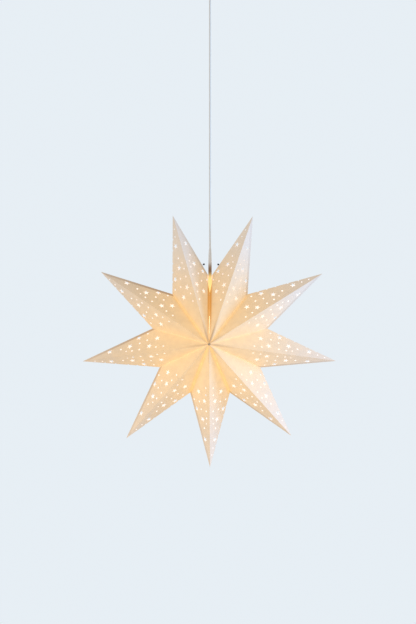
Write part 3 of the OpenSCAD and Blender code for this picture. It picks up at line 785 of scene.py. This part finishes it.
class STAR_OT_holder(bpy.types.Operator):
    """Makes the lamp holder's cap and shell, and dresses its inner parts"""

    bl_idname = "star.holder"
    bl_label = "Lamp holder"

    def execute(self, context):
        lamp = settings("star_lamp")
        outer = cap_high.x
        wall = 0.002
        top, bottom = cap_high.z, cap_low.z
        collar = 0.0075
        bore = sleeve_high.x + 0.0001
        inner_top = top - 0.018
        corners = [
            (bore, top, 0.0005), (collar, top, 0.0008), (collar, top - 0.0038, 0.0002),
            (collar - 0.001, top - 0.0038, 0), (collar - 0.001, top - 0.0062, 0),
            (collar, top - 0.0062, 0.0002), (collar, top - 0.012, 0.002),
            (outer - 0.005, top - 0.014, 0.003), (outer - 0.0014, top - 0.0175, 0.003),
            (outer, top - 0.022, 0.003), (outer, bottom + 0.0001, 0.0006),
            (outer - wall, bottom + 0.0001, 0.0004), (outer - wall, top - 0.022, 0.002),
            (outer - wall - 0.002, inner_top, 0.001), (bore, inner_top, 0),
        ]
        # Painted warm light and shade over the whole holder, and a faint painted glow: the bulb's light on white
        # plastic
        warm_light_and_shade = (top + 0.01, top + 0.02, (0.66, 0.40, 0.15))
        lit = (top + 0.01, top + 0.02, (0.14, 0.06, 0.01))
        plastic = moulded_plastic("holder_plastic", lamp.holder_colour, warm_light_and_shade_below=warm_light_and_shade, lit_below=lit)
        mesh = turned(rounded(corners))
        cap = finish_mesh("holder_cap_moulding", mesh, plastic)
        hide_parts("holder_cap")

        rim, floor = shell_high.x, shell_low.z
        corners = [
            (outer - wall, floor + 0.001, 0.0003), (outer - wall + 0.0006, floor, 0.0002),
            (outer + 0.0004, floor, 0.0003), (rim, floor + 0.0006, 0.0004), (rim, floor + 0.0034, 0.0005),
            (outer, floor + 0.004, 0.0005), (outer, floor + 0.008, 0), (outer, bottom - 0.004, 0),
            (outer, bottom - 0.0001, 0.0005), (outer - wall, bottom - 0.0001, 0.0004),
        ]
        mesh = turned(rounded(corners))
        groove(mesh, floor + 0.008, bottom - 0.004, outer - wall / 2, lamp.holder_grooves, 0.0007)
        shell = finish_mesh("holder_shell_moulding", mesh, plastic)
        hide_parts("holder_shell")

        dressed = {
            "contact_insert": ("insert_ceramic", moulded_plastic("insert_ceramic", (0.84, 0.82, 0.77), 0.3, 400)),
            "insert_screws": ("brass", metal("brass_screw", (0.78, 0.58, 0.27))),
            "screw_shell": ("brass", metal("brass_thread", (0.80, 0.60, 0.30), 0.22)),
            "centre_contact": ("brass", metal("brass_contact", (0.82, 0.62, 0.30), 0.2)),
            "lamp_wires": ("wire_insulation", moulded_plastic("core_insulation", (0.05, 0.07, 0.13), 0.4)),
        }
        for node, (slot, material) in dressed.items():
            nodes[node].data.materials.clear()
            nodes[node].data.materials.append(material)
        return {"FINISHED"}


class STAR_OT_bulb(bpy.types.Operator):
    """Makes the lit globe bulb with its threaded base"""

    bl_idname = "star.bulb"
    bl_label = "Bulb"

    def execute(self, context):
        lamp = settings("star_lamp")
        radius = lamp.globe_diameter / 2
        centre = globe_centre().z
        top = bulb_high.z
        base = 0.0068
        base_bottom = top - 0.020
        neck = 0.0085
        outline = []
        for step in range(25):
            angle = math.pi - step / 24 * math.radians(138)
            outline.append((radius * math.sin(angle), centre + radius * math.cos(angle)))
        shoulder = Vector(outline[-1])
        throat = Vector((neck, base_bottom - 0.0025))
        for step in range(1, 9):
            share = step / 8
            middle = Vector((neck + 0.0005, (shoulder.y + throat.y) / 2 - 0.001))
            outline.append(shoulder * (1 - share) ** 2 + middle * 2 * share * (1 - share) + throat * share**2)
        outline.append((base + 0.0004, base_bottom - 0.0002))
        outline.append((base - 0.0006, base_bottom + 0.001))
        outline.append((0, base_bottom + 0.001))
        glass = finish_mesh("bulb_globe", turned(outline, 64, closed=False), lit_glass())
        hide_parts("bulb")

        mesh = bmesh.new()
        segments, rings = 64, 52
        height = 0.0158
        start = base_bottom - 0.0002
        bmesh.ops.create_circle(mesh, segments=segments, radius=base, cap_ends=False)
        bmesh.ops.translate(mesh, verts=mesh.verts, vec=(0, 0, start))
        edge = mesh.edges[:]
        for _ in range(rings):
            made = bmesh.ops.extrude_edge_only(mesh, edges=edge)
            verts = [part for part in made["geom"] if isinstance(part, bmesh.types.BMVert)]
            bmesh.ops.translate(mesh, verts=verts, vec=(0, 0, height / rings))
            edge = [part for part in made["geom"] if isinstance(part, bmesh.types.BMEdge)]
        for vert in mesh.verts:
            turn = math.atan2(vert.co.y, vert.co.x)
            rise = vert.co.z - start
            ends = min(1, rise / 0.002, (height - rise) / 0.002)
            wave = 0.5 - 0.5 * math.cos(rise / lamp.thread_pitch * math.tau - turn)
            reach = 1 - 0.085 * wave * ends
            vert.co.x *= reach
            vert.co.y *= reach
        rim = [vert for vert in mesh.verts if vert.co.z > start + height - 1e-6]
        rim_edges = [edge for edge in mesh.edges if all(vert in rim for vert in edge.verts)]
        made = bmesh.ops.extrude_edge_only(mesh, edges=rim_edges)
        inner = [part for part in made["geom"] if isinstance(part, bmesh.types.BMVert)]
        bmesh.ops.scale(mesh, vec=(0.72, 0.72, 1), verts=inner)
        bmesh.ops.translate(mesh, verts=inner, vec=(0, 0, 0.0014))
        bmesh.ops.holes_fill(mesh, edges=mesh.edges)
        shell = finish_mesh("bulb_thread", mesh, metal("bulb_nickel", (0.78, 0.77, 0.74), 0.2))

        tip_z = start + height + 0.0013
        corners = [
            (0, tip_z, 0), (base * 0.7, tip_z, 0.0004), (base * 0.45, top - 0.001, 0.0005),
            (0, top - 0.001, 0),
        ]
        button = finish_mesh(
            "bulb_insulator", turned(rounded(corners), 48, closed=False),
            moulded_plastic("bulb_black_glass", (0.03, 0.03, 0.035), 0.15),
        )
        corners = [
            (0, top - 0.0011, 0), (0.0024, top - 0.0011, 0.0003), (0.0021, top - 0.0001, 0.0004), (0, top, 0),
        ]
        contact = finish_mesh(
            "bulb_contact", turned(rounded(corners), 40, closed=False), metal("bulb_solder", (0.62, 0.62, 0.60), 0.3)
        )
        return {"FINISHED"}


class STAR_OT_wire(bpy.types.Operator):
    """Makes the bent hanger wire and the black caps on its ends"""

    bl_idname = "star.wire"
    bl_label = "Hanger wire"

    def execute(self, context):
        lamp = settings("star_lamp")
        route = wire_route()
        wire = tube_piece(
            "hanger_wire_bent", route, lamp.wire_diameter, metal("wire_steel", (0.66, 0.66, 0.67), 0.25)
        )
        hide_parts("hanger_wire")
        black = moulded_plastic("cap_black", (0.03, 0.028, 0.026), 0.42, 700)
        for name, end, before in (("left", route[0], route[1]), ("right", route[-1], route[-2])):
            outward = (end - before).normalized()
            outline = rounded([
                (0, -0.0024, 0), (0.0016, -0.0024, 0.0004), (0.0025, -0.0012, 0.001),
                (0.0025, 0.0010, 0.0014), (0.0014, 0.0024, 0.0008), (0, 0.0024, 0),
            ])
            mesh = turned(outline, 40, closed=False)
            turn = Vector((0, 0, 1)).rotation_difference(outward).to_matrix().to_4x4()
            bmesh.ops.transform(mesh, matrix=Matrix.Translation(end) @ turn, verts=mesh.verts)
            cap = finish_mesh(f"wire_cap_{name}", mesh, black)
        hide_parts("wire_end_caps")
        return {"FINISHED"}


class STAR_OT_ceiling(bpy.types.Operator):
    """Makes the ceiling cup with its cord grip, nut and screw, and dresses the parts inside it"""

    bl_idname = "star.ceiling"
    bl_label = "Ceiling fitting"

    def execute(self, context):
        ceiling = settings("star_ceiling")
        rim, low = cup_high.x, cup_low.z
        wall = 0.002
        hole = 0.0057
        depth = -low
        outside = [
            (rim, 0), (rim, 0.3), (rim - 0.002, 0.55), (rim - 0.007, 0.78), (rim - 0.015, 0.92),
            (rim - 0.025, 1),
        ]
        corners = [(rim - wall, 0, 0.0006), (rim, 0, ceiling.lip)]
        corners += [(x, -share * depth, 0.012) for x, share in outside[1:]]
        corners += [
            (hole, low, 0.0003), (hole, low + wall, 0.0003), (rim - 0.0254, low + wall, 0.008),
            (rim - 0.016, -0.92 * depth + wall, 0.010), (rim - 0.0086, -0.78 * depth + 0.8 * wall, 0.010),
            (rim - wall - 0.002, -0.55 * depth + 0.0006, 0.010), (rim - wall, -0.3 * depth, 0.010),
        ]
        enamel = moulded_plastic("cup_enamel", ceiling.cup_colour, 0.30, 350)
        cup = finish_mesh("cup_shell", turned(rounded(corners, 6), 96), enamel, 50)
        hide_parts("ceiling_cup")

        grip_r, floor = grip_high.x, grip_low.z
        neck, bore = 0.0055, 0.0026
        corners = [
            (bore, floor, 0.0004), (grip_r - 0.0022, floor, 0.0010),
            (grip_r - 0.0010, floor + 0.0030, 0.0005), (grip_r, low - 0.0012, 0.0006),
            (grip_r - 0.0004, low - 0.0001, 0.0004), (neck, low - 0.0001, 0.0002),
            (neck, grip_high.z, 0.0004), (bore, grip_high.z, 0.0004),
        ]
        mesh = turned(rounded(corners), 80)
        groove(mesh, floor + 0.0028, low - 0.0016, neck + 0.001, ceiling.grip_ribs, 0.0005, 80)
        grip = finish_mesh("cup_grip", mesh, moulded_plastic("grip_plastic", ceiling.cup_colour, 0.4))
        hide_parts("cup_cord_grip")

        mesh = bmesh.new()
        bmesh.ops.create_cone(
            mesh, cap_ends=False, segments=6, radius1=nut_high.x, radius2=nut_high.x,
            depth=nut_high.z - nut_low.z,
        )
        rings = [e for e in mesh.edges if abs(e.verts[0].co.z - e.verts[1].co.z) < 1e-6]
        inner = bmesh.ops.create_circle(mesh, segments=48, radius=neck + 0.0001, cap_ends=False)["verts"]
        bmesh.ops.translate(mesh, verts=inner, vec=(0, 0, (nut_high.z - nut_low.z) / 2))
        upper_inner = list({e for v in inner for e in v.link_edges})
        made = bmesh.ops.extrude_edge_only(mesh, edges=upper_inner)
        lower_verts = [part for part in made["geom"] if isinstance(part, bmesh.types.BMVert)]
        bmesh.ops.translate(mesh, verts=lower_verts, vec=(0, 0, nut_low.z - nut_high.z))
        lower_inner = [e for e in made["geom"] if isinstance(e, bmesh.types.BMEdge)]
        upper = [e for e in rings if e.verts[0].co.z > 0]
        lower = [e for e in rings if e.verts[0].co.z < 0]
        bmesh.ops.bridge_loops(mesh, edges=upper + upper_inner)
        bmesh.ops.bridge_loops(mesh, edges=lower + lower_inner)
        outer_corners = [
            edge for edge in mesh.edges
            if all(math.hypot(vert.co.x, vert.co.y) > neck * 1.2 for vert in edge.verts)
        ]
        bmesh.ops.bevel(
            mesh, geom=outer_corners, offset=0.0004, offset_type="OFFSET", affect="EDGES", segments=2,
            profile=0.5, material=-1,
        )
        bmesh.ops.translate(mesh, verts=mesh.verts, vec=(0, 0, (nut_high.z + nut_low.z) / 2))
        nut = finish_mesh("cup_nut", mesh, moulded_plastic("nut_plastic", ceiling.cup_colour, 0.4))
        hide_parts("cup_grip_nut")

        head = Vector((0, screw_low.y, (screw_low.z + screw_high.z) / 2))
        screw = slotted_screw(
            "cup_screw", head, screw_high.x, screw_high.y - screw_low.y, Vector((0, 1, 0)),
            metal("zinc_screw", (0.62, 0.63, 0.64), 0.3),
        )
        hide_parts("cup_grip_screw")

        dressed = {
            "mounting_strap": ("strap_steel", galvanised_steel()),
            "cord_anchor": ("cup_white", moulded_plastic("anchor_plastic", (0.80, 0.80, 0.77), 0.4)),
            "terminal_block": ("cup_white", moulded_plastic("block_plastic", (0.83, 0.83, 0.79), 0.35)),
            "terminal_screws": ("brass", metal("terminal_brass", (0.78, 0.60, 0.30), 0.25)),
        }
        for node, (slot, material) in dressed.items():
            nodes[node].data.materials.clear()
            nodes[node].data.materials.append(material)
        return {"FINISHED"}


def area_light(name, place, target, size, power, colour):
    """A soft lamp that shines from place to target."""
    light = bpy.data.lights.new(name, "AREA")
    light.shape = "DISK"
    light.size = size
    light.energy = power
    light.color = colour
    lamp = bpy.data.objects.new(name, light)
    bpy.context.scene.collection.objects.link(lamp)
    lamp.location = place
    lamp.rotation_euler = (Vector(target) - Vector(place)).to_track_quat("-Z", "Y").to_euler()


class STAR_OT_stage(bpy.types.Operator):
    """Sets the camera, the lights, the pale surroundings and the floor"""

    bl_idname = "star.stage"
    bl_label = "Stage"

    def execute(self, context):
        stage = settings("star_stage")
        scene = context.scene
        centre = star_centre()
        look = Vector((
            math.sin(stage.azimuth) * math.cos(stage.elevation),
            math.cos(stage.azimuth) * math.cos(stage.elevation),
            -math.sin(stage.elevation),
        ))
        camera = bpy.data.objects.new("camera", bpy.data.cameras.new("camera"))
        scene.collection.objects.link(camera)
        camera.location = centre - look * stage.distance
        camera.rotation_mode = "QUATERNION"
        camera.rotation_quaternion = look.to_track_quat("-Z", "Y")
        camera.data.sensor_width = 36
        camera.data.lens = stage.lens
        camera.data.shift_x = -2 / RENDER_HEIGHT_PX
        camera.data.shift_y = 26.6 / RENDER_HEIGHT_PX
        camera.data.clip_end = 50
        scene.camera = camera
        scene.view_settings.view_transform = "Standard"

        area_light("key_light", (2.15, -0.23, -0.79), centre, 0.9, stage.key_power, stage.key_colour)
        area_light("soft_fill", (-1.9, -1.1, -0.98), centre, 0.9, stage.fill_power, stage.fill_colour)

        world = bpy.data.worlds.new("pale_room")
        scene.world = world
        world.use_nodes = True
        tree = world.node_tree
        tree.nodes.clear()
        paths = tree.nodes.new("ShaderNodeLightPath")
        seen = tree.nodes.new("ShaderNodeMath")
        seen.operation = "MAXIMUM"
        gloss = tree.nodes.new("ShaderNodeMath")
        gloss.operation = "MAXIMUM"
        tree.links.new(paths.outputs["Is Camera Ray"], seen.inputs[0])
        tree.links.new(paths.outputs["Is Glossy Ray"], gloss.inputs[0])
        tree.links.new(paths.outputs["Is Transmission Ray"], gloss.inputs[1])
        tree.links.new(gloss.outputs[0], seen.inputs[1])
        ambient = tree.nodes.new("ShaderNodeBackground")
        ambient.inputs["Color"].default_value = (1, 0.99, 0.97, 1)
        ambient.inputs["Strength"].default_value = stage.ambient
        backdrop = tree.nodes.new("ShaderNodeBackground")
        backdrop.inputs["Color"].default_value = (*stage.background, 1)
        backdrop.inputs["Strength"].default_value = 1.0
        mixed = tree.nodes.new("ShaderNodeMixShader")
        output = tree.nodes.new("ShaderNodeOutputWorld")
        tree.links.new(seen.outputs[0], mixed.inputs[0])
        tree.links.new(ambient.outputs[0], mixed.inputs[1])
        tree.links.new(backdrop.outputs[0], mixed.inputs[2])
        tree.links.new(mixed.outputs[0], output.inputs[0])

        mesh = bmesh.new()
        bmesh.ops.create_circle(mesh, cap_ends=True, segments=96, radius=stage.floor_radius)
        bmesh.ops.translate(mesh, verts=mesh.verts, vec=(0, 0, -stage.floor_drop))
        data = bpy.data.meshes.new("floor")
        mesh.to_mesh(data)
        mesh.free()
        floor = bpy.data.objects.new("floor", data)
        scene.collection.objects.link(floor)
        shader = Shader("floor_pale", Roughness=0.9)
        shader.put(shader.surface.inputs["Base Color"], stage.background)
        glow = shader.add("ShaderNodeEmission", {"Color": stage.background, "Strength": 1.0})
        clear = shader.add("ShaderNodeBsdfTransparent")
        paths = shader.add("ShaderNodeLightPath").outputs
        seen = shader.math("MAXIMUM", paths["Is Camera Ray"], paths["Is Glossy Ray"])
        shown = shader.add("ShaderNodeMixShader", {1: shader.surface.outputs[0], 2: glow.outputs[0]})
        reach = shader.vector("LENGTH", shader.vector(
            "MULTIPLY", shader.coordinates.outputs["Object"], (1, 1, 0)
        ))
        pale = shader.step(reach, 0.2 * stage.floor_radius, stage.floor_radius, 0.6, 1.0)
        shader.put(shown.inputs[0], shader.math("MULTIPLY", seen, pale))
        below = shader.add("ShaderNodeNewGeometry").outputs["Backfacing"]
        whole = shader.add("ShaderNodeMixShader", {0: below, 1: shown.outputs[0], 2: clear.outputs[0]})
        shader.put(shader.tree.nodes["Material Output"].inputs[0], whole.outputs[0])
        data.materials.append(shader.material)
        return {"FINISHED"}


class STAR_PT_panel(bpy.types.Panel):
    """Lists the star's operators"""

    bl_idname = "STAR_PT_panel"
    bl_label = "Paper advent star"
    bl_space_type = "VIEW_3D"
    bl_region_type = "UI"
    bl_category = "Star"

    def draw(self, context):
        for operator in OPERATORS:
            self.layout.operator(operator.bl_idname)
        for group in GROUPS:
            box = self.layout.box()
            held = getattr(context.scene, group)
            for name in held.bl_rna.properties.keys():
                if name not in ("rna_type", "name"):
                    box.prop(held, name)


GROUPS = {
    "star_paper": StarPaperSettings,
    "star_lamp": LampSettings,
    "star_ceiling": CeilingSettings,
    "star_stage": StageSettings,
}
OPERATORS = (
    STAR_OT_stage, STAR_OT_ceiling, STAR_OT_cord, STAR_OT_sleeve, STAR_OT_holder, STAR_OT_bulb,
    STAR_OT_wire, STAR_OT_paper,
)
CLASSES = (*GROUPS.values(), *OPERATORS, STAR_PT_panel)


def register():
    for item in CLASSES:
        bpy.utils.register_class(item)
    for name, group in GROUPS.items():
        setattr(bpy.types.Scene, name, PointerProperty(type=group))


def unregister():
    for name in GROUPS:
        delattr(bpy.types.Scene, name)
    for item in reversed(CLASSES):
        bpy.utils.unregister_class(item)


def main():
    register()
    bpy.ops.star.stage()
    bpy.ops.star.ceiling()
    bpy.ops.star.cord()
    bpy.ops.star.sleeve()
    bpy.ops.star.holder()
    bpy.ops.star.bulb()
    bpy.ops.star.wire()
    bpy.ops.star.paper()


if __name__ == "__main__":
    main()
